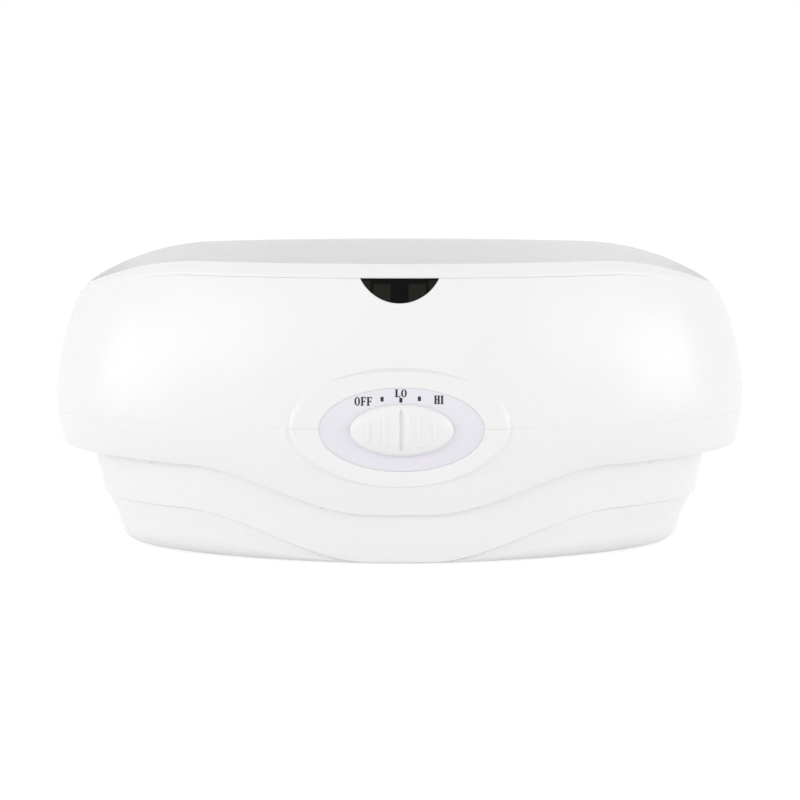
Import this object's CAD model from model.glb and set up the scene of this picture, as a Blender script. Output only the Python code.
# Visual model of the paraffin bath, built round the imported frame; sizes in millimetres until placed
from math import acos, asin, atan2, cos, hypot, pi, radians, sin, sqrt, tan

import bmesh
import bpy
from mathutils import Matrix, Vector


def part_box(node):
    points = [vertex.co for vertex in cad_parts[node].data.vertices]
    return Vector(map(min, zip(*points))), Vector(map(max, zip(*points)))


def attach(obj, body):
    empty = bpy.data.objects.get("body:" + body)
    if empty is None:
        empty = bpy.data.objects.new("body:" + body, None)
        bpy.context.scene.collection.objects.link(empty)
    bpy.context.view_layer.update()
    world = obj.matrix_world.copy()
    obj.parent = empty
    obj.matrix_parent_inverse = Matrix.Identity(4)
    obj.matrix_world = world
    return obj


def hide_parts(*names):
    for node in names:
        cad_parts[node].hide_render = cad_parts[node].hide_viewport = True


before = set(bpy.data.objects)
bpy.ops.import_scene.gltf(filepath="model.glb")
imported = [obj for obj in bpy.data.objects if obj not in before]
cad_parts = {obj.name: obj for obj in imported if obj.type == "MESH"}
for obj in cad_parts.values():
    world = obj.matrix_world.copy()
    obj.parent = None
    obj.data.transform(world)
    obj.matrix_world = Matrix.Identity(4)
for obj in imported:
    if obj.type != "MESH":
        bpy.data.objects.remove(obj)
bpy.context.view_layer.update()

MM = 0.001
QUARTER = pi / 2

# Housing: ovals round one upright axis, each with its half lengths across and deep
BELT = (193.3, 116)
BELT_Z = 82
WALL = 2.5
CROWN_DRAW = 13.4
PARTING = (BELT[0] - CROWN_DRAW, BELT[1] - CROWN_DRAW)
PARTING_Z = 156.5
SADDLE_RUN = 64.5
SADDLE_RADIUS = 142
CREST = (175.5, 96)
CREST_Z = 164
CREST_RUN = 67
TIER_ONE_DRAW = (4.6, 6.5)
TIER_ONE = (BELT[0] - TIER_ONE_DRAW[0], BELT[1] - TIER_ONE_DRAW[1])
TIER_TWO_TOP = (172.5, 106.5)
TIER_TWO = (166.5, 104)
TIER_THREE_TOP = (164.3, 103.2)
TIER_THREE = (158, 102)
BASE = (147, 100.5)
BASE_Z = 0.8
BASE_POWER = 1.75
BASE_LIFT = 0.4
BASE_ROUND_SHARE = 0.48
FLAT = (130, 94)
FLAT_EASE = 1.6

# Waved edges: heights at the middle and the ends, the climb between, and a last rise at the ends
EDGE_ONE = (28.1, 53.2)
EDGE_ONE_CLIMB = (16.5, 118.5)
EDGE_ONE_END = 122
EDGE_ONE_END_RISE = 2.8
EDGE_TWO = (1.4, 27.7)
EDGE_TWO_CLIMB = (16.4, 121)
EDGE_TWO_END = (125, 150)
EDGE_TWO_END_RISE = 0.6

# Rounded lips of the waved edges as width, depth and height, and the ledge and groove under them
LIP_ONE = (0.7, 0.5, 0.7)
LIP_TWO = (0.5, 0.4, 0.5)
LEDGE_ONE = (0.6, 0.3)
LEDGE_ONE_DROP = 0.3
GROOVE_ROWS = ((0.5, 0), (0.3, 0.4), (0, 1))
GROOVE_DROP = 0.12
GROOVE_GROWTH = 0.4
GROOVE_FADE = (1.6, 4.5)

# Inner wall of the lower housing, set in from the outer one
INNER_BASE_IN = 1
INNER_THREE_IN = (2, 1)
INNER_THREE_ROUND = 0.6
INNER_TWO_RISE = 2
INNER_ONE_RISE = 3.5

# Seam between the two shells: an eased groove, deep inside the bezel and faint outside it
SEAM_Z = 75.5
SEAM_HALF = 0.015
SEAM_STEPS = ((0.015, 0.13), (0.1, 0.07), (0.22, 0.02), (0.35, 0))
SEAM_STEP_MATCH = 0.01
SEAM_FACING = 0.3
SEAM_IN_BEZEL = 2.4
SEAM_PLAIN = 0.5

# Grid of the housing skins: columns round, and shares of the way from the belt to each edge
COLUMNS = 384
FRONT_COLUMN = COLUMNS * 3 // 4
BEZEL_COLUMNS = 24
WINDOW_COLUMNS = 10
TIER_ONE_SHARES = [0, 0.12, 0.24, 0.36, 0.48, 0.6, 0.72, 0.85]
TIER_ONE_LOW_SHARE = 0.92
CROWN_SHARES = [0.04, 0.08, 0.12, 0.16, 0.2, 0.24, 0.28, 0.32, 0.36, 0.41, 0.46]
CROWN_MID_SHARES = [0.52, 0.58, 0.64, 0.7, 0.75]
CROWN_TOP_SHARES = [0.79, 0.82, 0.85, 0.88, 0.91, 0.94, 0.97, 1]

# Bezel and panel, seen from the front: half lengths A across and C high
BEZEL_Y = 113.6
BEZEL_A = 60.3
BEZEL_C = 32.5
BEZEL_Z = 76.15
BEZEL_LEAN = tan(radians(0.9))
BEZEL_TOP_TUCK = 0.3
BEZEL_TOP = (94, 108)
BEZEL_EDGE_HALF = 0.24
BEZEL_EDGE_GROWTH = 0.8
BEZEL_EDGE_FREE = 0.6
BEZEL_EDGE_IN = 1.5
BEZEL_EDGE_OUT = 0.7
BEZEL_BACK_GAP = 0.2
BEZEL_BACK_BLEND = (2, 14)
BEZEL_SKIRT = (3.4, 2.2)
BEZEL_SKIRT_SHARES = (0, 0.25, 0.5, 0.75)
BEZEL_EDGE_RINGS = (2.2, 1.5, 1.1, 0.8, 0.55, 0.35, 0.2, 0.08, -0.08, -0.2, -0.35, -0.55, -0.8)
BEZEL_FLAT_RINGS = (-1.1, -1.5, -2, -2.6, -3.2, -4)
BEZEL_FLAT_START = 4
BEZEL_FLAT_SHARES = (0.3, 0.6, 0.85)
BEZEL_BACK_RINGS = (4, 12, 19, -1)
OPENING_GAP = 0.4
OPENING_ROUND = 0.35
OPENING_STEPS = 4
OPENING_DEPTH = 2.6
PANEL_A = 45
PANEL_C = 22.8
PANEL_X = 1.1
PANEL_Z = 75.2
PANEL_Y = 112.4

# Half-moon window: notch in the housing's edge, and the arc that bounds it
WINDOW_HALF = 21.4
WINDOW_DEPTH = 13.2
WINDOW_RADIUS = (WINDOW_HALF**2 + WINDOW_DEPTH**2) / (2 * WINDOW_DEPTH)
WINDOW_CENTRE = PARTING_Z - WINDOW_DEPTH + WINDOW_RADIUS
WINDOW_SHARES = (0, 0.3, 0.55, 0.75, 0.88, 0.95, 0.98)
WINDOW_EASE = 0.12
WINDOW_BACK_RINGS = (2, 4)

tank_low, tank_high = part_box("tank")
AXIS_Y = (tank_low.y + tank_high.y) / 2 / MM


def smooth(value, low, high):
    share = min(max((value - low) / (high - low), 0), 1)
    return share * share * (3 - 2 * share)


def mix(first, second, share):
    return first + (second - first) * share


# An oval drawn in by a gap, and one part of the way between two ovals
def inset(oval, gap):
    return oval[0] - gap, oval[1] - gap


def span(first, second, share):
    return mix(first[0], second[0], share), mix(first[1], second[1], share)


# Heights of the saddle edges and waved edges, by the cosine of the angle round the housing
def saddle_drop(run):
    reach = min(max(run, 0), SADDLE_RADIUS)
    return SADDLE_RADIUS - sqrt(SADDLE_RADIUS**2 - reach**2)


def parting_at(side):
    return PARTING_Z - saddle_drop((abs(side) - 1) * PARTING[0] + SADDLE_RUN)


def crest_at(side):
    return CREST_Z - saddle_drop((abs(side) - 1) * CREST[0] + CREST_RUN)


def edge_one_at(side):
    x = abs(side) * TIER_ONE[0]
    rise = EDGE_ONE_END_RISE * max(0, x - EDGE_ONE_END) / (TIER_ONE[0] - EDGE_ONE_END)
    return mix(*EDGE_ONE, smooth(x, *EDGE_ONE_CLIMB)) + rise


def edge_two_at(side):
    x = abs(side) * TIER_TWO[0]
    return mix(*EDGE_TWO, smooth(x, *EDGE_TWO_CLIMB)) + EDGE_TWO_END_RISE * smooth(x, *EDGE_TWO_END)


# The third tier's top, and the hull's lower edge, which lifts a little towards the ends
def third_top_at(side):
    edge = edge_two_at(side)
    return edge - GROOVE_DROP - GROOVE_GROWTH * smooth(edge, *GROOVE_FADE)


def hull_at(side):
    return BASE_Z + BASE_LIFT * abs(side) ** 2


def round_at(share):
    """The height a share of the way up the hull's rounding."""

    def height(side):
        room = max(third_top_at(side) - hull_at(side), 0)
        return hull_at(side) + room * BASE_ROUND_SHARE * share

    return height


# Heights made from other heights
def raised(height_at, rise):
    return lambda side: height_at(side) + rise


def blended(first_at, second_at, share):
    return lambda side: mix(first_at(side), second_at(side), share)


# Mesh making
MERGE_METRES = 1e-6
MERGE = 1e-4
CUT_MATCH = 1e-5
SHARP = 30


def placed(x, y, z):
    return x * MM, (y + AXIS_Y) * MM, z * MM


def link(name, data):
    made = bpy.data.objects.new(name, data)
    bpy.context.scene.collection.objects.link(made)
    return made


def shade(mesh, sharp):
    mesh.polygons.foreach_set("use_smooth", [True] * len(mesh.polygons))
    mesh.set_sharp_from_angle(angle=radians(sharp))


def finish_mesh(piece, material, sharp=SHARP):
    shape = bmesh.new()
    shape.from_mesh(piece.data)
    bmesh.ops.remove_doubles(shape, verts=shape.verts, dist=MERGE_METRES)
    bmesh.ops.recalc_face_normals(shape, faces=shape.faces)
    shape.to_mesh(piece.data)
    shape.free()
    shade(piece.data, sharp)
    piece.data.materials.clear()
    piece.data.materials.append(material)


def new_object(name, verts, faces, material, sharp=SHARP):
    mesh = bpy.data.meshes.new(name)
    mesh.from_pydata([placed(*vert) for vert in verts], [], faces)
    mesh.update()
    piece = link(name, mesh)
    finish_mesh(piece, material, sharp)
    return piece


def object_from(shape, name, material):
    for vert in shape.verts:
        vert.co = placed(*vert.co)
    mesh = bpy.data.meshes.new(name)
    shape.to_mesh(mesh)
    shape.free()
    piece = link(name, mesh)
    finish_mesh(piece, material)
    return piece


def evaluated(piece):
    graph = bpy.context.evaluated_depsgraph_get()
    return bpy.data.meshes.new_from_object(piece.evaluated_get(graph))


def settle(piece, slot, *replaced, body="housing"):
    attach(piece, body)
    if replaced:
        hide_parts(*replaced)


def turns(steps):
    return [2 * pi * i / steps for i in range(steps)]


def quarter_turns(steps):
    return [k / steps * QUARTER for k in range(steps + 1)]


def rounding(radius, steps):
    """How far a quarter turn lies within its two sides, from one side to the other."""
    return [(radius * (1 - sin(turn)), radius * (1 - cos(turn))) for turn in quarter_turns(steps)]


def ring(a, b, height, power=2, steps=COLUMNS):
    """One oval of points; a power under 2 draws it in between its four ends."""
    points = []
    for angle in turns(steps):
        side, sine = cos(angle), sin(angle)
        reach = (abs(side) ** power + abs(sine) ** power) ** (-1 / power)
        z = height(side) if callable(height) else height
        points.append((a * reach * side, b * reach * sine, z))
    return points


def strip_faces(faces, rows, closed):
    """Quads between rows of vertex numbers."""
    count = len(rows[0])
    for low, high in zip(rows, rows[1:]):
        for i in range(count if closed else count - 1):
            j = (i + 1) % count
            faces.append((low[i], low[j], high[j], high[i]))


def loft(rings, closed=False):
    """Rings of equal length joined by quads, as a closed band or with a flat face at each end."""
    steps = len(rings[0])
    verts = [point for one in rings for point in one]
    rows = [list(range(r * steps, (r + 1) * steps)) for r in range(len(rings))]
    faces = []
    strip_faces(faces, rows + rows[:1] if closed else rows, True)
    if not closed:
        faces += [tuple(reversed(rows[0])), tuple(rows[-1])]
    return verts, faces


# Materials
DRIFT_NOISE = (4, 0.55)
GRAIN_NOISE = (3, 0.6)
BUMP_METRES = 0.0004


def new_material(name):
    material = bpy.data.materials.new(name)
    material.use_nodes = True
    return material, material.node_tree, material.node_tree.nodes["Principled BSDF"]


def add_node(tree, kind, **values):
    node = tree.nodes.new(kind)
    for key, value in values.items():
        if key in node.inputs:
            node.inputs[key].default_value = value
        else:
            setattr(node, key, value)
    return node


def wire(source, target):
    target.id_data.links.new(source, target)


def varied(name, colours, rough, metallic=0, scale=40, bump=0.02, grain=900):
    """Colour drifts slowly over the surface; a fine grain varies its roughness and lifts it."""
    material, tree, shader = new_material(name)
    place = add_node(tree, "ShaderNodeTexCoord")

    def noise(size, detail, roughness):
        node = add_node(tree, "ShaderNodeTexNoise", Scale=size, Detail=detail, Roughness=roughness)
        wire(place.outputs["Object"], node.inputs["Vector"])
        return node.outputs["Fac"]

    drift = noise(scale, *DRIFT_NOISE)
    fine = noise(grain, *GRAIN_NOISE)
    colour = add_node(tree, "ShaderNodeMix", data_type="RGBA")
    for socket, value in zip("AB", colours):
        colour.inputs[socket].default_value = (*value, 1)
    wire(drift, colour.inputs["Factor"])
    wire(colour.outputs["Result"], shader.inputs["Base Color"])
    roughness = add_node(tree, "ShaderNodeMapRange")
    for socket, value in zip(("To Min", "To Max"), rough):
        roughness.inputs[socket].default_value = value
    wire(fine, roughness.inputs["Value"])
    wire(roughness.outputs["Result"], shader.inputs["Roughness"])
    lift = add_node(tree, "ShaderNodeBump", Strength=bump, Distance=BUMP_METRES)
    wire(fine, lift.inputs["Height"])
    wire(lift.outputs["Normal"], shader.inputs["Normal"])
    shader.inputs["Metallic"].default_value = metallic
    return material


def greys(*values):
    return [(value, value, value) for value in values]


white_plastic = varied(
    "white_moulded_plastic", greys(0.895, 0.925), (0.24, 0.32), scale=14, bump=0.006, grain=1400
)
knob_plastic = varied(
    "white_knob_plastic", greys(0.885, 0.915), (0.26, 0.34), scale=60, bump=0.008, grain=1400
)
LAVENDER = ((0.84, 0.815, 0.88), (0.865, 0.84, 0.905))
panel_plastic = varied("lavender_panel", LAVENDER, (0.34, 0.46), scale=60, grain=2600)
ink = varied("black_print", greys(0.008, 0.014), (0.35, 0.5), scale=300)
NATURAL = ((0.74, 0.71, 0.63), (0.80, 0.77, 0.70))
nylon = varied("natural_nylon", NATURAL, (0.42, 0.56), scale=50, bump=0.05)
BROWN = ((0.05, 0.028, 0.018), (0.085, 0.05, 0.03))
phenolic = varied("brown_phenolic", BROWN, (0.4, 0.6), scale=90, bump=0.08)
rubber = varied("black_rubber", greys(0.014, 0.024), (0.62, 0.8), scale=80, bump=0.15)
pale_rubber = varied("pale_rubber", greys(0.8, 0.86), (0.6, 0.75), scale=80, bump=0.1)
silicone = varied("grey_silicone", greys(0.42, 0.5), (0.5, 0.65), scale=60, bump=0.1)
AMBER = ((0.7, 0.24, 0.05), (0.85, 0.36, 0.1))
lamp_glass = varied("amber_lamp_glass", AMBER, (0.08, 0.16), scale=120)
BRAID = ((0.52, 0.48, 0.4), (0.66, 0.62, 0.54))
wire_jacket = varied("braided_jacket", BRAID, (0.6, 0.8), scale=400, bump=0.5, grain=3000)
ANNEALED = ((0.3, 0.27, 0.25), (0.46, 0.43, 0.4))
heater_steel = varied("annealed_sheath", ANNEALED, (0.35, 0.5), 1, scale=30, bump=0.06)
ZINC = ((0.56, 0.57, 0.58), (0.68, 0.69, 0.7))
screw_steel = varied("zinc_plated_steel", ZINC, (0.28, 0.42), 1, scale=200, bump=0.05)
GALVANISED = ((0.44, 0.46, 0.48), (0.62, 0.64, 0.66))
galvanised = varied("galvanised_sheet", GALVANISED, (0.36, 0.55), 1, scale=45, bump=0.05)
SPUN = ((0.66, 0.67, 0.68), (0.76, 0.77, 0.78))
aluminium = varied("spun_aluminium", SPUN, (0.24, 0.4), 1, scale=60, bump=0.05)

# Smoked lens: near black, with two cells and two corners that show a little lighter behind it
SMOKE = ((0.0025, 0.003, 0.0028), (0.0035, 0.004, 0.0038))
SMOKE_SPECULAR = 0.06
CELL_COLOUR = (0.0165, 0.0155, 0.0115, 1)
CELL_ACROSS = (4.9, 14.2, 0.35)
CELL_UP = (100, 153.6, 0.5)
CORNER_ACROSS = (15.9, 30, 0.4)
CORNER_UP = (100, 155.4, 0.4)


def smoked_lens():
    material = varied("smoked_lens", SMOKE, (0.1, 0.16), scale=60)
    tree = material.node_tree
    shader = tree.nodes["Principled BSDF"]
    shader.inputs["Specular IOR Level"].default_value = SMOKE_SPECULAR
    place = add_node(tree, "ShaderNodeTexCoord")
    axes = add_node(tree, "ShaderNodeSeparateXYZ")
    wire(place.outputs["Object"], axes.inputs["Vector"])

    def combined(operation, *sources):
        node = add_node(tree, "ShaderNodeMath", operation=operation)
        for socket, source in zip(node.inputs, sources):
            wire(source, socket)
        return node.outputs["Value"]

    def band(source, low, high, soft):
        ends = []
        for start, end in ((low - soft, low + soft), (high + soft, high - soft)):
            node = add_node(tree, "ShaderNodeMapRange", interpolation_type="SMOOTHSTEP")
            node.inputs["From Min"].default_value = start * MM
            node.inputs["From Max"].default_value = end * MM
            wire(source, node.inputs["Value"])
            ends.append(node.outputs["Result"])
        return combined("MULTIPLY", *ends)

    across = combined("ABSOLUTE", axes.outputs["X"])
    up = axes.outputs["Z"]
    cell = combined("MULTIPLY", band(across, *CELL_ACROSS), band(up, *CELL_UP))
    corner = combined("MULTIPLY", band(across, *CORNER_ACROSS), band(up, *CORNER_UP))
    base = shader.inputs["Base Color"].links[0].from_socket
    blend = add_node(tree, "ShaderNodeMix", data_type="RGBA")
    blend.inputs["B"].default_value = CELL_COLOUR
    wire(combined("ADD", cell, corner), blend.inputs["Factor"])
    wire(base, blend.inputs["A"])
    wire(blend.outputs["Result"], shader.inputs["Base Color"])
    return material


smoked = smoked_lens()


# Outer skin of the housing's two shells, from the parting edge down to the first waved edge
def crown_ring(share):
    return *inset(BELT, CROWN_DRAW * share**2), lambda side: mix(BELT_Z, parting_at(side), share)


def tier_one_ring(share):
    a, b = (half - draw * share**2 for half, draw in zip(BELT, TIER_ONE_DRAW))
    return a, b, lambda side: mix(BELT_Z, edge_one_at(side), share)


def body_depth(x, z):
    """Depth of the housing's plain front."""
    if z >= BELT_Z:
        share = (z - BELT_Z) / (PARTING_Z - BELT_Z)
        a, b, _ = crown_ring(share)
        return b * sqrt(max(0, 1 - (x / a) ** 2))
    side = x / BELT[0]
    for _ in range(4):
        share = (BELT_Z - z) / (BELT_Z - edge_one_at(side))
        a, b, _ = tier_one_ring(min(share, 1))
        side = x / a
    return b * sqrt(max(0, 1 - side**2))


def bezel_offset(x, z):
    """How far a point lies outside the bezel's outline, about in millimetres."""
    u, w = x / BEZEL_A, (z - BEZEL_Z) / BEZEL_C
    reach = hypot(u, w)
    slope = hypot(u / BEZEL_A, w / BEZEL_C) / max(reach, MERGE_METRES)
    return (reach - 1) / slope if reach > MERGE_METRES else -BEZEL_C


def bezel_face(z):
    """Depth of the bezel's flat, which leans back from its foot."""
    tuck = BEZEL_TOP_TUCK * smooth(z, *BEZEL_TOP)
    return BEZEL_Y - (z - BEZEL_Z + BEZEL_C) * BEZEL_LEAN - tuck


def front_depth(x, z):
    """Depth of the front with the bezel's flat let in."""
    plain = body_depth(x, z)
    flat = bezel_face(z)
    half = BEZEL_EDGE_HALF + BEZEL_EDGE_GROWTH * max(0, abs(flat - plain) - BEZEL_EDGE_FREE)
    share = smooth(bezel_offset(x, z), -BEZEL_EDGE_IN * half, BEZEL_EDGE_OUT * half)
    return mix(flat, plain, share)


def back_depth(x, z):
    """Depth of the same wall's inner face."""
    flat = BEZEL_Y - WALL - BEZEL_BACK_GAP
    return mix(flat, body_depth(x, z) - WALL, smooth(bezel_offset(x, z), *BEZEL_BACK_BLEND))


def between(first, second, share):
    return [span(p, q, share) for p, q in zip(first, second)]


def bezel_patch(frame_points):
    """Rings from a closed frame round the bezel in to the panel's opening."""
    angles = [atan2(z - BEZEL_Z, x) for x, z in frame_points]

    def oval(a, c, centre, centre_x=0):
        points = []
        for angle in angles:
            reach = 1 / hypot(cos(angle) / a, sin(angle) / c)
            points.append((centre_x + reach * cos(angle), centre + reach * sin(angle)))
        return points

    outer = oval(BEZEL_A + BEZEL_SKIRT[0], BEZEL_C + BEZEL_SKIRT[1], BEZEL_Z)
    rows = [between(frame_points, outer, share) for share in BEZEL_SKIRT_SHARES]
    for grow in BEZEL_EDGE_RINGS + BEZEL_FLAT_RINGS:
        rows.append(oval(BEZEL_A + grow, BEZEL_C + grow, BEZEL_Z))
    rings = [[(x, -front_depth(x, z), z) for x, z in row] for row in rows]
    for share in BEZEL_FLAT_SHARES:
        a = mix(BEZEL_A - BEZEL_FLAT_START, PANEL_A + OPENING_GAP, share)
        c = mix(BEZEL_C - BEZEL_FLAT_START, PANEL_C + OPENING_GAP, share)
        row = oval(a, c, mix(BEZEL_Z, PANEL_Z, share), share * PANEL_X)
        rings.append([(x, -bezel_face(z), z) for x, z in row])
    for grow, drop in rounding(OPENING_ROUND, OPENING_STEPS):
        row = oval(PANEL_A + grow, PANEL_C + grow, PANEL_Z, PANEL_X)
        rings.append([(x, drop - bezel_face(z), z) for x, z in row])
    row = oval(PANEL_A, PANEL_C, PANEL_Z, PANEL_X)
    rings.append([(x, -(BEZEL_Y - OPENING_DEPTH), z) for x, z in row])
    return rings


def window_patch(frame_points):
    """Rings from an open frame round the window's notch in to the notch's arc."""
    spread = asin(WINDOW_HALF / WINDOW_RADIUS)
    count = len(frame_points) - 1
    arc = []
    for i in range(count + 1):
        angle = spread * (1 - 2 * i / count)
        x, z = -WINDOW_RADIUS * sin(angle), WINDOW_CENTRE - WINDOW_RADIUS * cos(angle)
        arc.append((x, z))
    rows = [(between(frame_points, arc, share), 0) for share in WINDOW_SHARES]
    rows += [(arc, WINDOW_EASE), (arc, WALL)]
    return [[(x, -(body_depth(x, z) - deep), z) for x, z in row] for row, deep in rows]


def lip_rows(oval, lip, edge_at):
    """The rounding of a lower edge, from the wall to the edge's underside."""
    width, depth, height = lip
    rows = []
    for v, u in rounding(1, 4):
        rows.append((oval[0] - width * u, oval[1] - depth * u, raised(edge_at, height * v)))
    return rows


def rows_below():
    """Outer rows under the bezel's block: first tier's lip, second and third tier, and base."""
    rows = [tier_one_ring(TIER_ONE_LOW_SHARE)]
    rows += lip_rows(TIER_ONE, LIP_ONE, edge_one_at)
    rows.append((TIER_TWO_TOP[0] + LEDGE_ONE[0], TIER_TWO_TOP[1] + LEDGE_ONE[1], edge_one_at))
    rows.append((*TIER_TWO_TOP, raised(edge_one_at, -LEDGE_ONE_DROP)))
    for share in (0.25, 0.5, 0.75):
        height = blended(edge_one_at, edge_two_at, share)
        rows.append((*span(TIER_TWO_TOP, TIER_TWO, share), height))
    rows += lip_rows(TIER_TWO, LIP_TWO, edge_two_at)
    for gap, share in GROOVE_ROWS:
        rows.append((*inset(TIER_THREE_TOP, gap), blended(edge_two_at, third_top_at, share)))
    for share in (0.3, 0.6):
        height = blended(third_top_at, round_at(1), share)
        rows.append((*span(TIER_THREE_TOP, TIER_THREE, share), height))
    for turn in quarter_turns(10):
        share = cos(turn)
        height = round_at(1 - sin(turn))
        rows.append((*span(BASE, TIER_THREE, share), height, mix(BASE_POWER, 2, share)))
    for share in (0.3, 0.6, 1):
        height = blended(lambda side: BASE_Z, hull_at, (1 - share) ** FLAT_EASE)
        rows.append((*span(BASE, FLAT, share), height, BASE_POWER))
    return rows


def rows_inside():
    """Inner rows of the lower housing, from the floor up to the bezel's block."""
    tier_three = [half - WALL - more for half, more in zip(TIER_THREE, INNER_THREE_IN)]
    return [
        (*FLAT, BASE_Z + WALL, BASE_POWER),
        (*inset(BASE, INNER_BASE_IN), raised(hull_at, WALL), BASE_POWER),
        (*tier_three, raised(round_at(INNER_THREE_ROUND), WALL)),
        (*inset(TIER_THREE_TOP, WALL), raised(edge_two_at, WALL)),
        (*inset(TIER_TWO, WALL), raised(edge_two_at, WALL + INNER_TWO_RISE)),
        (*inset(TIER_TWO_TOP, WALL), raised(edge_one_at, WALL)),
        (*inset(TIER_ONE, WALL), raised(edge_one_at, WALL + INNER_ONE_RISE)),
    ]


def make_shells():
    """Both shells as one closed skin, with the bezel and the window's notch let into its grid."""
    verts = []
    faces = []

    def add(points):
        start = len(verts)
        verts.extend(points)
        return list(range(start, start + len(points)))

    low = [tier_one_ring(share) for share in reversed(TIER_ONE_SHARES)]
    crown = CROWN_SHARES + CROWN_MID_SHARES + CROWN_TOP_SHARES
    rows = low + [crown_ring(share) for share in crown]
    bezel_rows = (0, len(low) + len(CROWN_SHARES) - 1)
    window_rows = (len(low) + len(CROWN_SHARES) + len(CROWN_MID_SHARES), len(rows) - 1)
    blocks = ((bezel_rows, BEZEL_COLUMNS), (window_rows, WINDOW_COLUMNS))
    grid = [add(ring(*row)) for row in rows]
    inner = [add(ring(*inset(row, WALL), row[2])) for row in rows]

    def in_block(r, i, ends, half):
        return ends[0] <= r < ends[1] and FRONT_COLUMN - half <= i < FRONT_COLUMN + half

    for sheet in (grid, inner):
        for r in range(len(rows) - 1):
            for i in range(COLUMNS):
                j = (i + 1) % COLUMNS
                if not any(in_block(r, i, *block) for block in blocks):
                    faces.append((sheet[r][i], sheet[r][j], sheet[r + 1][j], sheet[r + 1][i]))

    def block_edge(sheet, block_rows, half, closed):
        left, right = FRONT_COLUMN - half, FRONT_COLUMN + half
        bottom, top = block_rows
        edge = [sheet[r][left] for r in range(top, bottom, -1)]
        edge += [sheet[bottom][i] for i in range(left, right)]
        edge += [sheet[r][right] for r in range(bottom, top)]
        if closed:
            edge += [sheet[top][i] for i in range(right, left, -1)]
        else:
            edge.append(sheet[top][right])
        return edge

    def let_in(rows_and_half, closed, patch, picks, back_at):
        """Fills a block of both sheets with a patch's rings, and gives its rows."""
        edge = block_edge(grid, *rows_and_half, closed)
        rings = patch([(verts[v][0], verts[v][2]) for v in edge])
        outer_rows = [edge] + [add(points) for points in rings[1:]]
        strip_faces(faces, outer_rows, closed)
        inner_rows = [block_edge(inner, *rows_and_half, closed)]
        for pick in picks:
            inner_rows.append(add([(x, -back_at(x, z), z) for x, _, z in rings[pick]]))
        return outer_rows, inner_rows

    # Bezel: the outer sheet follows the flat, the inner sheet follows behind it
    outer_rows, inner_rows = let_in(blocks[0], True, bezel_patch, BEZEL_BACK_RINGS, back_depth)
    strip_faces(faces, inner_rows, True)
    strip_faces(faces, [outer_rows[-1], inner_rows[-1]], True)

    # Window notch
    plain_back = lambda x, z: body_depth(x, z) - WALL
    outer_rows, inner_rows = let_in(blocks[1], False, window_patch, WINDOW_BACK_RINGS, plain_back)
    inner_rows.append(outer_rows[-1])
    strip_faces(faces, inner_rows, False)

    # Upper edge: outer and inner sheet joined, broken at the notch
    for i in range(COLUMNS):
        j = (i + 1) % COLUMNS
        if not in_block(window_rows[0], i, *blocks[1]):
            faces.append((grid[-1][i], grid[-1][j], inner[-1][j], inner[-1][i]))
    for end in (0, -1):
        outer_line = [row[end] for row in outer_rows]
        inner_line = [row[end] for row in inner_rows]
        faces.append(tuple(outer_line + inner_line[-2::-1]))

    rest = [add(ring(*row)) for row in rows_below() + rows_inside()]
    strip_faces(faces, [grid[0]] + rest + [inner[0]], True)
    return verts, faces


def cut_at_seam(verts, faces):
    """Splits the closed skin at the seam into its upper and lower part, with eased edges."""
    whole = bmesh.new()
    made = [whole.verts.new(vert) for vert in verts]
    for face in faces:
        whole.faces.new([made[v] for v in face])
    bmesh.ops.remove_doubles(whole, verts=whole.verts, dist=MERGE)
    bmesh.ops.recalc_face_normals(whole, faces=whole.faces)
    for z in [SEAM_Z + side * offset for side in (-1, 1) for offset, _ in SEAM_STEPS]:
        bmesh.ops.bisect_plane(
            whole,
            geom=whole.verts[:] + whole.edges[:] + whole.faces[:],
            dist=CUT_MATCH,
            plane_co=(0, 0, z),
            plane_no=(0, 0, 1),
        )
    whole.normal_update()
    for vert in whole.verts:
        off = abs(vert.co.z - SEAM_Z)
        drop = next((drop for step, drop in SEAM_STEPS if abs(off - step) < SEAM_STEP_MATCH), 0)
        outward = Vector((vert.co.x / BELT[0] ** 2, vert.co.y / BELT[1] ** 2, 0)).normalized()
        in_bezel = vert.co.y < 0 and abs(vert.co.x) < BEZEL_A - BEZEL_EDGE_IN
        if drop and vert.normal.dot(outward) > SEAM_FACING:
            vert.co -= outward * drop * (SEAM_IN_BEZEL if in_bezel else SEAM_PLAIN)
    gone = [f for f in whole.faces if abs(f.calc_center_median().z - SEAM_Z) < SEAM_HALF]
    bmesh.ops.delete(whole, geom=gone, context="FACES")
    parts = []
    for side in (1, -1):
        part = whole.copy()
        away = [v for v in part.verts if (v.co.z - SEAM_Z) * side < 0]
        bmesh.ops.delete(part, geom=away, context="VERTS")
        open_edges = [e for e in part.edges if len(e.link_faces) == 1]
        bmesh.ops.triangle_fill(part, edges=open_edges, use_beauty=True)
        stray = [v for v in part.verts if not v.link_faces]
        bmesh.ops.delete(part, geom=stray, context="VERTS")
        bmesh.ops.recalc_face_normals(part, faces=part.faces)
        parts.append(part)
    whole.free()
    return parts


upper_part, lower_part = cut_at_seam(*make_shells())
upper_shell = object_from(upper_part, "upper_shell", white_plastic)
lower_shell = object_from(lower_part, "lower_shell", white_plastic)
settle(upper_shell, "white_plastic", "upper_housing")


# Plates: flat outlines with holes, filled and given rounded edges
def oval_points(a, b, count, centre=(0, 0)):
    return [(centre[0] + a * cos(t), centre[1] + b * sin(t)) for t in turns(count)]


def slot_points(half, width, centre, upright=False):
    radius = width / 2
    points = []
    for end in (1, -1):
        for i in range(9):
            angle = pi * i / 8 - QUARTER
            u = end * (half - radius) + end * radius * cos(angle)
            v = end * radius * sin(angle)
            x, y = (-v, u) if upright else (u, v)
            points.append((centre[0] + x, centre[1] + y))
    return points


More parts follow.
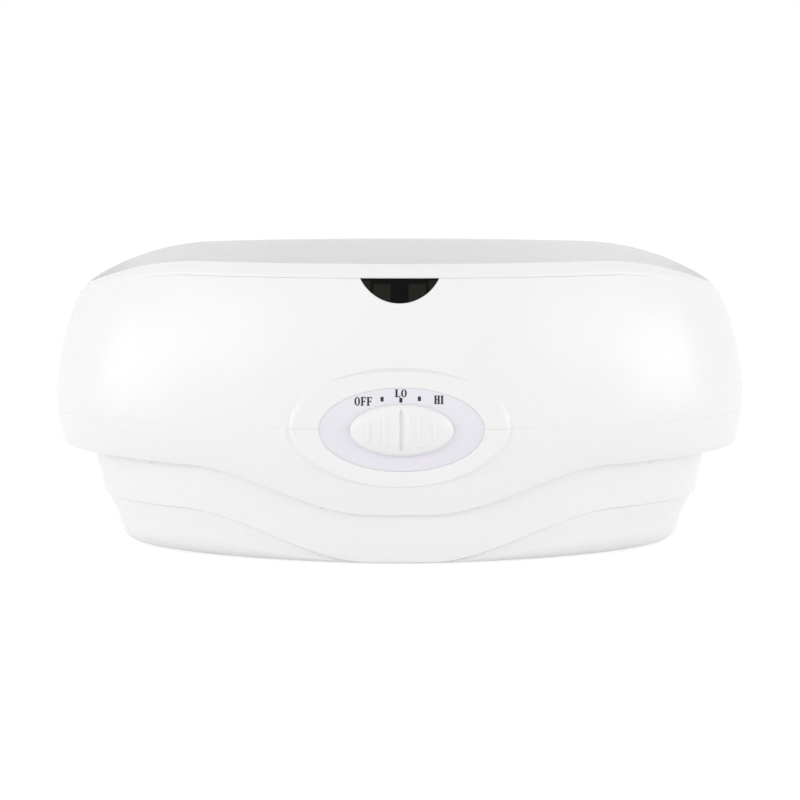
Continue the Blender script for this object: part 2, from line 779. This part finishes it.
def plate(outlines, low, high, edge, resolution=2):
    """A filled plate in the XY plane between two heights."""
    curve = bpy.data.curves.new("outline", "CURVE")
    curve.dimensions = "2D"
    curve.fill_mode = "BOTH"
    curve.extrude = max((high - low) / 2 - edge, 0)
    curve.bevel_depth = edge
    curve.bevel_resolution = resolution
    curve.offset = -edge
    for outline in outlines:
        spline = curve.splines.new("POLY")
        spline.points.add(len(outline) - 1)
        spline.use_cyclic_u = True
        for point, (x, y) in zip(spline.points, outline):
            point.co = (x, y, 0, 1)
    holder = link("outline", curve)
    mesh = evaluated(holder)
    middle = (low + high) / 2
    verts = [(v.co.x, v.co.y, v.co.z + middle) for v in mesh.vertices]
    faces = [tuple(p.vertices) for p in mesh.polygons]
    bpy.data.objects.remove(holder)
    bpy.data.curves.remove(curve)
    bpy.data.meshes.remove(mesh)
    return verts, faces


def upright(verts):
    """Turns a flat plate to face the front; its rise becomes depth."""
    return [(x, -z, y) for x, y, z in verts]


def joined(*parts):
    verts, faces = [], []
    for more_verts, more_faces in parts:
        start = len(verts)
        verts += more_verts
        faces += [tuple(v + start for v in face) for face in more_faces]
    return verts, faces


def lathe(profile, steps, centre, to_rear=False, closed=False):
    """A profile turned round an upright axis, or round one that runs to the rear."""
    rings = []
    for radius, height in profile:
        points = []
        for angle in turns(steps):
            u, v = centre[0] + radius * cos(angle), centre[1] + radius * sin(angle)
            points.append((u, height, v) if to_rear else (u, v, height))
        rings.append(points)
    return loft(rings, closed)


# Floor of the lower shell with its vents
VENT_HALF = 17
VENT_WIDTH = 4
VENT_X = 46
VENT_PITCH = 14
VENTS = 4
FLOOR_EDGE = 0.35


def make_floor():
    outlines = [[(x, y) for x, y, _ in ring(*FLAT, 0, BASE_POWER)]]
    for across in (-VENT_X, VENT_X):
        for i in range(VENTS):
            deep = (i - (VENTS - 1) / 2) * VENT_PITCH
            outlines.append(slot_points(VENT_HALF, VENT_WIDTH, (across, deep)))
    verts, faces = plate(outlines, BASE_Z, BASE_Z + WALL, FLOOR_EDGE)
    return new_object("shell_floor", verts, faces, white_plastic)


# Snap tabs between the first tier's edge and the second tier's wall: place and width of each pair
TABS = ((138.5, 3), (44.6, 3.6))
TAB_TOP = 0.6
TAB_PROFILE = ((-2, 0), (0.5, 0), (0.5, 2.6), (-0.2, 3.9), (-1, 4.6))
TAB_FACE = (1, 2)
TAB_TRIM = 0.3
TAB_SHOULDER = 0.8


def make_tab(x_centre, width):
    a, b = TIER_TWO_TOP
    centre = acos(x_centre / a)
    half = width / 2 / hypot(a * sin(centre), b * cos(centre))
    rings = []
    for share, trim in ((-1, TAB_TRIM), (-TAB_SHOULDER, 0), (TAB_SHOULDER, 0), (1, TAB_TRIM)):
        angle = centre + share * half
        side, sine = cos(angle), -sin(angle)
        top = edge_one_at(side) + TAB_TOP
        points = []
        for i, (out, drop) in enumerate(TAB_PROFILE):
            reach = out - trim if i in TAB_FACE else out
            points.append(((a + reach) * side, (b + reach) * sine, top - drop))
        rings.append(points)
    return loft(rings)


tab_pieces = []
for x, width in TABS:
    for side in (-1, 1):
        name = f"tab_{len(tab_pieces)}"
        tab_pieces.append(new_object(name, *make_tab(side * x, width), white_plastic))
floor_piece = make_floor()


def merge_objects(target, *others):
    shape = bmesh.new()
    for piece in (target, *others):
        shape.from_mesh(piece.data)
    shape.to_mesh(target.data)
    shape.free()
    for piece in others:
        bpy.data.meshes.remove(piece.data)
    shade(target.data, SHARP)


# Holes through the lower shell: wells under the housing screws, and the gland's seat and hole
WELL_RADIUS = 3.55
WELL_BELOW = 8
WELL_ABOVE = 2.1
GLAND_Z = 15
GLAND_SEAT_RADIUS = 9.15
GLAND_SEAT = (104.72, 118)
GLAND_HOLE_RADIUS = 6.35
GLAND_HOLE = (96, 118)


def drill(target, *cutters):
    for cutter in cutters:
        change = target.modifiers.new("cut", "BOOLEAN")
        change.operation = "DIFFERENCE"
        change.solver = "EXACT"
        change.object = cutter
    bpy.context.view_layer.update()
    mesh = evaluated(target)
    target.modifiers.clear()
    target.data = mesh
    for cutter in cutters:
        bpy.data.objects.remove(cutter)
    finish_mesh(target, white_plastic)


def cutter(radius, low, high, steps, centre, to_rear=False):
    shape = lathe([(radius, low), (radius, high)], steps, centre, to_rear)
    return new_object("cutter", *shape, white_plastic)


cutters = []
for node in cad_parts:
    if node.startswith("housing_screw_"):
        head_low, head_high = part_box(node)
        x, y = (head_low.x + head_high.x) / 2 / MM, (head_low.y + head_high.y) / 2 / MM
        low, high = head_low.z / MM - WELL_BELOW, head_low.z / MM + WELL_ABOVE
        cutters.append(cutter(WELL_RADIUS, low, high, 40, (x, y - AXIS_Y)))
cutters.append(cutter(GLAND_SEAT_RADIUS, *GLAND_SEAT, 56, (0, GLAND_Z), True))
cutters.append(cutter(GLAND_HOLE_RADIUS, *GLAND_HOLE, 40, (0, GLAND_Z), True))
drill(lower_shell, *cutters)
merge_objects(lower_shell, floor_piece, *tab_pieces)
settle(lower_shell, "white_plastic", "lower_housing")

# Top rim: band, rolled crest, and the collar that lines the mouth
RIM_SEAT_GAP = 0.05
RIM_FOOT = ((1.12, 0), (1.03, 0.04), (1, 0.14))
RIM_ROLL = 0.75
RIM_BOW = 0.7
RIM_TOP = (CREST[0] - 0.6, CREST[1] + 0.9)
RIM_LINING_SHARES = (0.03, 0.12, 0.3, 0.5, 0.7, 0.85, 1)
RIM_SKIRT = (168, 88.5)
RIM_SKIRT_Z = 124
RIM_SKIRT_WALL = 2.5
RIM_BACK_IN = 1
RIM_BACK_DROP = 3
RIM_PLUG_GAP = 0.3
RIM_SHARP = 40


def rim_seat_at(side):
    return parting_at(side) + RIM_SEAT_GAP


def make_rim():
    rows = [(*inset(PARTING, gap), raised(rim_seat_at, rise)) for gap, rise in RIM_FOOT]
    foot_gap, foot_rise = RIM_FOOT[-1]
    foot, foot_at = inset(PARTING, foot_gap), raised(rim_seat_at, foot_rise)
    mouth, mouth_at = inset(RIM_TOP, 2 * RIM_ROLL), raised(crest_at, -RIM_ROLL)
    for share in (0.2, 0.4, 0.6, 0.8):
        bow = RIM_BOW * sin(pi * share)
        height = blended(foot_at, mouth_at, share)
        rows.append((*inset(span(foot, RIM_TOP, share), -bow), height))
    for k in range(9):
        turn = k / 8 * pi
        drop = RIM_ROLL * (1 - sin(turn))
        rows.append((*inset(RIM_TOP, RIM_ROLL * (1 - cos(turn))), raised(crest_at, -drop)))
    for share in RIM_LINING_SHARES:
        height = blended(mouth_at, lambda side: RIM_SKIRT_Z, share)
        rows.append((*span(mouth, RIM_SKIRT, share), height))
    rows.append((*inset(RIM_SKIRT, -RIM_SKIRT_WALL), RIM_SKIRT_Z))
    back_at = raised(parting_at, -RIM_BACK_DROP)
    rows.append((*inset(CREST, RIM_BACK_IN), back_at))
    plug = inset(PARTING, WALL + RIM_PLUG_GAP)
    rows += [(*plug, back_at), (*plug, rim_seat_at)]
    return loft([ring(*row) for row in rows], closed=True)


rim = new_object("rim_collar", *make_rim(), white_plastic, RIM_SHARP)
settle(rim, "white_plastic", "top_rim")

# Tank: pressed pan with a rounded floor corner and a flat flange
TANK_SKIN = 1.5
TANK_STEPS = 192
TANK_FLOOR = (156.5, 77)
TANK_FLOOR_Z = 44.5
TANK_CORNER = 13.5
TANK_NECK = ((168, 88.5, 119.4), (168.6, 89, 120.1))
TANK_FLANGE = ((178.2, 98.7, 120.1), (178.5, 99, 120.5), (178.5, 99, 121.7), (178.2, 98.7, 122))
TANK_MOUTH = (166.5, 87)
TANK_MOUTH_Z = 122
TANK_MOUTH_ROUND = 2
TANK_MIDDLE = (70, 34)


def make_tank():
    def corner(skin):
        floor = TANK_FLOOR_Z + skin
        turn = rounding(TANK_CORNER - skin, 8)
        return [(*inset(TANK_FLOOR, skin + gap), floor + rise) for gap, rise in turn]

    rows = [*corner(0), *TANK_NECK, *TANK_FLANGE]
    for grow, drop in rounding(TANK_MOUTH_ROUND, 4):
        rows.append((*inset(TANK_MOUTH, -grow), TANK_MOUTH_Z - drop))
    rows += [*reversed(corner(TANK_SKIN)), (*TANK_MIDDLE, TANK_FLOOR_Z + TANK_SKIN)]
    return loft([ring(*row, steps=TANK_STEPS) for row in rows])


settle(new_object("wax_pan", *make_tank(), aluminium), "tank_aluminium", "tank")

# Guard plate on the floor of the tank
GUARD_A = 152
GUARD_B = 72.5
GUARD_Z = (52.3, 54.8)
GUARD_EDGE = 0.7
GUARD_PITCH = 18
GUARD_SLOT = 9
GUARD_SPINE = 4.5
GUARD_BORDER = 9
GUARD_FOOT = ((3.6, 46.3), (4, 46.7), (4, 53))
GUARD_FOOT_X = 81


def make_guard():
    outlines = [oval_points(GUARD_A, GUARD_B, 256)]
    columns = int((GUARD_A - GUARD_BORDER - GUARD_SLOT) / GUARD_PITCH)
    for column in range(-columns, columns + 1):
        x = column * GUARD_PITCH
        share = (abs(x) + GUARD_SLOT / 2) / GUARD_A
        reach = GUARD_B * sqrt(1 - share**2) - GUARD_BORDER
        half = (reach - GUARD_SPINE) / 2
        if half < GUARD_SLOT:
            continue
        for deep in (-1, 1):
            centre = (x, deep * (GUARD_SPINE + half))
            outlines.append(slot_points(half, GUARD_SLOT, centre, upright=True))
    parts = [plate(outlines, *GUARD_Z, GUARD_EDGE, resolution=3)]
    for across in (-1, 1):
        for deep in (-1, 1):
            centre = (across * GUARD_FOOT_X, deep * GUARD_B / 2)
            parts.append(lathe(GUARD_FOOT, 24, centre))
    return joined(*parts)


settle(new_object("pan_guard", *make_guard(), nylon), "nylon", "grille")

# Control panel: face in the bezel's opening, flange behind it, and the slot for the knob's stem
TRACK_HALF = 22.5
TRACK_WIDTH = 5.2
PANEL_GAP = 0.06
PANEL_FACE_BACK = 108
PANEL_FACE_EDGE = 0.08
PANEL_FLANGE = 4
PANEL_FLANGE_Y = (106.3, 108.3)
PANEL_FLANGE_EDGE = 0.2
PANEL_STEPS = 160


def make_panel():
    track = slot_points(TRACK_HALF, TRACK_WIDTH, (0, PANEL_Z))
    shapes = (
        (-PANEL_GAP, PANEL_X, (PANEL_FACE_BACK, PANEL_Y), PANEL_FACE_EDGE),
        (PANEL_FLANGE, 0, PANEL_FLANGE_Y, PANEL_FLANGE_EDGE),
    )
    parts = []
    for grow, x, heights, edge in shapes:
        outline = oval_points(PANEL_A + grow, PANEL_C + grow, PANEL_STEPS, (x, PANEL_Z))
        parts.append(plate([outline, track], *heights, edge))
    verts, faces = joined(*parts)
    return upright(verts), faces


panel = new_object("panel_plate", *make_panel(), panel_plastic)
settle(panel, "panel_plastic", "control_panel")

# Bold narrow letters one unit high, as outlines of x,y pairs; the round one is two ovals
LETTERS = {
    "F": "0,0 .35,0 .35,.07 .27,.09 .27,.44 .40,.44 .43,.34 .48,.34 .48,.64 .43,.64 .40,.54 .27,.54"
    " .27,.90 .45,.90 .52,.74 .58,.74 .56,1 0,1 0,.93 .07,.91 .07,.09 0,.07",
    "L": "0,0 .56,0 .58,.28 .53,.28 .46,.10 .28,.10 .28,.91 .36,.93 .36,1 0,1 0,.93 .07,.91 .07,.09"
    " 0,.07",
    "H": "0,0 .31,0 .31,.07 .26,.09 .26,.46 .40,.46 .40,.09 .35,.07 .35,0 .66,0 .66,.07 .61,.09"
    " .61,.91 .66,.93 .66,1 .35,1 .35,.93 .40,.91 .40,.56 .26,.56 .26,.91 .31,.93 .31,1 0,1 0,.93"
    " .05,.91 .05,.09 0,.07",
    "I": "0,0 .32,0 .32,.07 .27,.09 .27,.91 .32,.93 .32,1 0,1 0,.93 .05,.91 .05,.09 0,.07",
}
ROUND_LETTER_MIDDLE = (0.3, 0.5)
ROUND_LETTER_OVALS = ((0.3, 0.51), (0.115, 0.43))
LETTER_GAP = 0.06

# Printed words with their middle, width and height, and ticks with their middle
WORDS = (("OFF", -19.7, 90.75, 9.5, 4.8), ("LO", 0.65, 95.1, 6.5, 4.3), ("HI", 21.2, 91.55, 5.1, 4.7))
TICKS = (("low", -9.5, 91.9), ("middle", 0.67, 91.35), ("high", 10.7, 92.15))
TICK_OUTLINE = ((-1, -0.8), (-0.7, -1), (0.7, -1), (1, -0.8), (1, 0.8), (0.7, 1), (-0.7, 1), (-1, 0.8))
TICK_HALF_WIDTH = 0.85
TICK_HALF_HEIGHT = 1.3
PRINT_Y = (PANEL_Y - 0.02, PANEL_Y + 0.05)


def glyph(letter):
    if letter == "O":
        return [oval_points(a, b, 32, ROUND_LETTER_MIDDLE) for a, b in ROUND_LETTER_OVALS]
    return [[tuple(float(v) for v in pair.split(",")) for pair in LETTERS[letter].split()]]


def printed(word, centre_x, centre_z, width, height):
    letters = []
    pen = 0
    for letter in word:
        outlines = glyph(letter)
        letters.append([[(x + pen, y) for x, y in outline] for outline in outlines])
        pen += max(x for x, _ in outlines[0]) + LETTER_GAP
    pen -= LETTER_GAP
    parts = []
    for outlines in letters:
        fitted = [
            [(centre_x + (x / pen - 0.5) * width, centre_z + (y - 0.5) * height) for x, y in line]
            for line in outlines
        ]
        verts, faces = plate(fitted, *PRINT_Y, edge=0)
        parts.append((upright(verts), faces))
    return joined(*parts)


def tick(centre_x, centre_z):
    outline = [
        (centre_x + TICK_HALF_WIDTH * u, centre_z + TICK_HALF_HEIGHT * v) for u, v in TICK_OUTLINE
    ]
    verts, faces = plate([outline], *PRINT_Y, edge=0)
    return upright(verts), faces


for word, *place in WORDS:
    settle(new_object(f"print_{word.lower()}", *printed(word, *place), ink), "window_plastic")
for name, *place in TICKS:
    settle(new_object(f"print_tick_{name}", *tick(*place), ink), "window_plastic")

# Knob: an oval dome with four ribs, given by place and half length, and a scooped finger groove
KNOB_A = 28
KNOB_C = 14
KNOB_X = 1.2
KNOB_SHARP = 42
KNOB_BACK = 112.8
KNOB_EDGE = 1.6
KNOB_CROWN = 4.86
KNOB_CROWN_POWER = 2.3
KNOB_CROWN_EASE = 0.92
KNOB_COLUMNS = 36
KNOB_ROWS = 96
KNOB_FINE = 0.15
KNOB_FINE_RIB = range(-9, 10)
KNOB_FINE_SCOOP = range(-16, 36)
KNOB_LEAST = 0.04
KNOB_TIP = 0.01
KNOB_FOOT = ((1, 1.1), (1, 0.3), (0.985, 0), (0.7, 0))
RIBS = ((-18, 5.5), (18, 5.5), (-9.2, 9), (9.2, 9))
RIB_RISE = 0.85
RIB_TOP = 0.3
RIB_RIGHT = 0.85
RIB_LEFT = 1.2
RIB_END = 0.6
SCOOP_X = -0.5
SCOOP_DEPTH = 2.1
SCOOP_WALL = (-1.4, -0.1)
SCOOP_FLOOR = 0.2
SCOOP_LEAST = 0.6
SCOOP_BOW = 3.3
SCOOP_BOW_HALF = 12.8
SCOOP_CREST = 0.5
SCOOP_CREST_RUN = 1.2
SCOOP_END = (9.6, 12.6)


def knob_rise(x, z):
    reach = min(hypot(x / KNOB_A, z / KNOB_C), 1)
    dome = sqrt(max(0, 1 - reach**KNOB_CROWN_POWER)) ** KNOB_CROWN_EASE
    rise = KNOB_EDGE + KNOB_CROWN * dome
    for centre, half in RIBS:
        flank = RIB_RIGHT if x > centre else RIB_LEFT
        lift = 1 - smooth(abs(x - centre), RIB_TOP, flank)
        lift *= 1 - smooth(abs(z), half - RIB_END, half + RIB_END)
        rise += RIB_RISE * lift
    # The groove is steep on its left, with a bowed ramp up to a small crest on its right
    bow = sqrt(max(0, 1 - (z / SCOOP_BOW_HALF) ** 2))
    crest = SCOOP_X + SCOOP_LEAST + SCOOP_BOW * bow
    if x < SCOOP_X:
        cut = -SCOOP_DEPTH * smooth(x, SCOOP_X + SCOOP_WALL[0], SCOOP_X + SCOOP_WALL[1])
    elif x < crest:
        cut = mix(-SCOOP_DEPTH, SCOOP_CREST, smooth(x, SCOOP_X + SCOOP_FLOOR, crest))
    else:
        cut = SCOOP_CREST * (1 - smooth(x, crest, crest + SCOOP_CREST_RUN))
    return rise + cut * (1 - smooth(abs(z), *SCOOP_END))


def knob_columns():
    """Places of the crown's columns: closer at the ends, and very close at ribs and groove."""
    steps = range(2 * KNOB_COLUMNS + 1)
    places = {KNOB_A * sin(QUARTER * (i / KNOB_COLUMNS - 1)) for i in steps}
    for centre, _ in RIBS:
        places |= {centre + KNOB_FINE * k for k in KNOB_FINE_RIB}
    places |= {KNOB_FINE * k for k in KNOB_FINE_SCOOP}
    ordered = sorted(places)
    kept = [ordered[0]]
    for place in ordered[1:]:
        if place - kept[-1] > KNOB_LEAST:
            kept.append(place)
    kept[0] += KNOB_TIP
    kept[-1] = KNOB_A - KNOB_TIP
    return kept


def make_knob():
    verts = []
    sheet = []
    for x in knob_columns():
        half = KNOB_C * sqrt(1 - (x / KNOB_A) ** 2)
        line = []
        for j in range(KNOB_ROWS + 1):
            z = half * sin(QUARTER * (2 * j / KNOB_ROWS - 1))
            line.append(len(verts))
            verts.append((x, -(KNOB_BACK + knob_rise(x, z)), PANEL_Z + z))
        sheet.append(line)
    faces = []
    for left, right in zip(sheet, sheet[1:]):
        for j in range(KNOB_ROWS):
            faces.append((left[j], right[j], right[j + 1], left[j + 1]))
    border = [line[0] for line in sheet] + sheet[-1][1:-1]
    border += [line[-1] for line in reversed(sheet)] + sheet[0][-2:0:-1]
    rows = [border]
    for share, height in KNOB_FOOT:
        start = len(verts)
        for v in border:
            x, _, z = verts[v]
            verts.append((x * share, -(KNOB_BACK + height), PANEL_Z + (z - PANEL_Z) * share))
        rows.append(list(range(start, start + len(border))))
    strip_faces(faces, rows, True)
    faces.append(tuple(rows[-1]))
    return [(x + KNOB_X, y, z) for x, y, z in verts], faces


knob = new_object("knob_grip", *make_knob(), knob_plastic, KNOB_SHARP)
settle(knob, "white_plastic", "slider_knob", body="slider")

# Window: a lens that follows the housing, set a little back from it
LENS_DEPTHS = (0.45, 2.3)
LENS_SIDE_GAP = 0.2
LENS_ARC_GAP = 0.15
LENS_TOP_GAP = 0.1
LENS_COLUMNS = 48
LENS_ROWS = 16


def make_window():
    top = PARTING_Z - LENS_TOP_GAP
    verts, faces, borders = [], [], []
    for depth in LENS_DEPTHS:
        sheet = []
        for j in range(LENS_ROWS + 1):
            line = []
            for i in range(LENS_COLUMNS + 1):
                x = (2 * i / LENS_COLUMNS - 1) * (WINDOW_HALF - LENS_SIDE_GAP)
                low = WINDOW_CENTRE - sqrt(WINDOW_RADIUS**2 - x**2) + LENS_ARC_GAP
                z = mix(low, top, j / LENS_ROWS)
                line.append(len(verts))
                verts.append((x, -(body_depth(x, z) - depth), z))
            sheet.append(line)
        strip_faces(faces, sheet, False)
        border = sheet[0] + [line[-1] for line in sheet[1:]]
        borders.append(border + sheet[-1][-2::-1] + [line[0] for line in sheet[-2:0:-1]])
    strip_faces(faces, borders, True)
    return verts, faces


settle(new_object("window_lens", *make_window(), smoked), "window_plastic", "indicator_window")

# Feet
FOOT_PROFILE = ((5.6, 0), (6, 0.08), (6.2, 0.35), (6.3, 1), (6.3, 1.7), (3, 1.7), (3, 4.3))
FOOT_X = 108
FOOT_Y = 48
for end, deep in (("front", -1), ("rear", 1)):
    for hand, across in (("right", 1), ("left", -1)):
        shape = lathe(FOOT_PROFILE, 48, (across * FOOT_X, deep * FOOT_Y))
        foot = new_object(f"rubber_foot_{end}_{hand}", *shape, pale_rubber)
        settle(foot, "rubber", f"foot_{end}_{hand}")

# Cord gland: flanged bush round the cord's hole in the rear wall; radii and depths of its profile
GLAND_FOOT = 104.76
GLAND_TAIL = ((3.5, 0), (5.9, 0), (6, 0.3))
GLAND_FLANGE = ((6, 0), (9, 0))
GLAND_FACE = (
    (9, -1.3), (8.8, -0.7), (8.3, -0.25), (7.6, -0.05), (6.7, 0), (6.5, -0.3),
    (6.1, -0.3), (5.9, 0), (4.4, 0), (3.8, -0.2), (3.5, -0.8),
)


def make_gland():
    low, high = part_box("cord_gland")
    tail, face = low.y / MM - AXIS_Y, high.y / MM - AXIS_Y
    profile = [(radius, tail + deep) for radius, deep in GLAND_TAIL]
    profile += [(radius, GLAND_FOOT + deep) for radius, deep in GLAND_FLANGE]
    profile += [(radius, face + deep) for radius, deep in GLAND_FACE]
    return lathe(profile, 64, (0, GLAND_Z), to_rear=True, closed=True)


settle(new_object("cord_bush", *make_gland(), rubber), "rubber", "cord_gland")

# Carried-over CAD pieces: materials only
FINISHES = (
    (silicone, ("tank_gasket",)),
    (nylon, ("slide_carriage", "slide_guide", "pinion", "terminal_block", "thermal_fuse")),
    (heater_steel, ("heater",)),
    (screw_steel, ("thermostat_shaft", *(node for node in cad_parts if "_screw_" in node))),
    (galvanised, ("thermostat_bracket", "heater_clamp_left", "heater_clamp_right", "fuse_clip")),
    (galvanised, ("heat_shield",)),
    (phenolic, ("thermostat_body", "lamp_holder")),
    (lamp_glass, ("power_lamp", "ready_lamp")),
    (wire_jacket, ("heater_wire_left", "heater_wire_right")),
)
for material, nodes in FINISHES:
    for node in nodes:
        for place in bpy.data.objects[node].material_slots:
            place.material = material

# Camera: the photograph's view, in metres
CAMERA_X = 0.0002
CAMERA_BACK = -2.7
CAMERA_Z = 0.367
AIM_Z = 0.0795
SENSOR = 36
LENS = 216.5
CLIP = (0.1, 30)


def face_towards(thing, place, aim):
    thing.location = place
    thing.rotation_mode = "QUATERNION"
    thing.rotation_quaternion = (Vector(aim) - Vector(place)).to_track_quat("-Z", "Y")


camera_data = bpy.data.cameras.new("camera")
camera_data.sensor_width = SENSOR
camera_data.lens = LENS
camera_data.clip_start, camera_data.clip_end = CLIP
camera = link("camera", camera_data)
view_from = (CAMERA_X, CAMERA_BACK + AXIS_Y * MM, CAMERA_Z)
face_towards(camera, view_from, (CAMERA_X, AXIS_Y * MM, AIM_Z))
bpy.context.scene.camera = camera

# Floor and world: white where they are seen, and a plain level where they light the object
FLOOR_HALF = 6
FLOOR_PALE = (0.9, 0.9, 0.9, 1)
FLOOR_SHADOW = (0.3, 0.3, 0.3, 1)
FLOOR_GLOW = 0.86
WHITE = (1, 1, 1, 1)
WORLD_LEVEL = 0.735


def seen_rays(tree):
    """True for rays that show the backdrop: straight, mirrored or through glass."""
    path = add_node(tree, "ShaderNodeLightPath")
    total = path.outputs["Is Camera Ray"]
    for name in ("Is Glossy Ray", "Is Transmission Ray"):
        either = add_node(tree, "ShaderNodeMath", operation="MAXIMUM")
        wire(total, either.inputs[0])
        wire(path.outputs[name], either.inputs[1])
        total = either.outputs["Value"]
    return total


def split_by_rays(tree, lighting, seen, output):
    pick = add_node(tree, "ShaderNodeMixShader")
    wire(seen_rays(tree), pick.inputs["Fac"])
    wire(lighting, pick.inputs[1])
    wire(seen, pick.inputs[2])
    wire(pick.outputs["Shader"], tree.nodes[output].inputs["Surface"])


def floor_material():
    material, tree, shader = new_material("pale_floor")
    tree.nodes.remove(shader)
    pale = add_node(tree, "ShaderNodeBsdfDiffuse", Color=FLOOR_PALE)
    shadow = add_node(tree, "ShaderNodeBsdfDiffuse", Color=FLOOR_SHADOW)
    glow = add_node(tree, "ShaderNodeEmission", Color=WHITE, Strength=FLOOR_GLOW)
    seen = add_node(tree, "ShaderNodeAddShader")
    wire(shadow.outputs["BSDF"], seen.inputs[0])
    wire(glow.outputs["Emission"], seen.inputs[1])
    split_by_rays(tree, pale.outputs["BSDF"], seen.outputs["Shader"], "Material Output")
    return material


floor_mesh = bpy.data.meshes.new("floor")
corners = [(FLOOR_HALF * u, FLOOR_HALF * v, 0) for u, v in ((-1, -1), (1, -1), (1, 1), (-1, 1))]
floor_mesh.from_pydata(corners, [], [(0, 1, 2, 3)])
floor_mesh.materials.append(floor_material())
floor_object = link("floor", floor_mesh)

world = bpy.data.worlds.new("studio")
world.use_nodes = True
bpy.context.scene.world = world
lighting = world.node_tree.nodes["Background"]
lighting.inputs["Color"].default_value = WHITE
lighting.inputs["Strength"].default_value = WORLD_LEVEL
seen = add_node(world.node_tree, "ShaderNodeBackground", Color=WHITE, Strength=1)
split_by_rays(
    world.node_tree, lighting.outputs["Background"], seen.outputs["Background"], "World Output"
)

# Soft lamps: place in metres and power in watts, all aimed at the object
LAMP_AIM = (0, 0, 0.08)
LAMP_SIZE = (1.2, 0.86)
LAMPS = (
    ("soft_left_side", (-2.1, -0.6, 0.3), 7),
    ("soft_right_side", (2.1, -0.6, 0.3), 8.2),
    ("soft_left_front", (-1.6, -1.5, 0.75), 5.6),
    ("soft_right_front", (1.6, -1.5, 0.75), 4.2),
    ("soft_front", (-0.9, -2.1, 1.1), 1.6),
)
for name, place, power in LAMPS:
    data = bpy.data.lights.new(name, "AREA")
    data.shape = "RECTANGLE"
    data.size, data.size_y = LAMP_SIZE
    data.energy = power
    face_towards(link(name, data), place, LAMP_AIM)

bpy.context.scene.view_settings.view_transform = "Standard"
